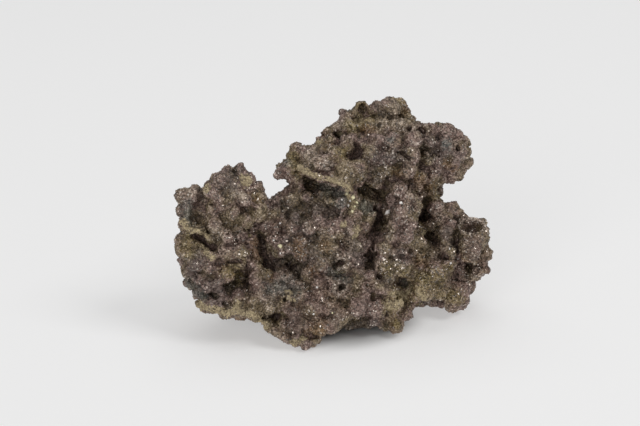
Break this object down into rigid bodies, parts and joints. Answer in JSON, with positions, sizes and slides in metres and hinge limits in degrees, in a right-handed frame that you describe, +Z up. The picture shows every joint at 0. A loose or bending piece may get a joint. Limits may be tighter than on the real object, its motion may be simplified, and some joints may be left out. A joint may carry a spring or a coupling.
{
  "type": "famatinite specimen",
  "caption": "Rough lump of famatinite ore: grape-like brown-grey sulphide crusts with drusy crystals, pits, clefts and yellow-green rims, standing on three low feet.",
  "frame": {"origin": "under the middle of the lump's box, on the surface that it stands on", "axes": "+Z up, +X to the right along the longest way across, +Y away from the viewer through the thinnest way, as the picture sees it"},
  "size_m": [0.1208, 0.0772, 0.0848],
  "materials": {
    "famatinite": "rough"
  },
  "bodies": {
    "root": {"specimen": "famatinite"}
  },
  "joints": []
}
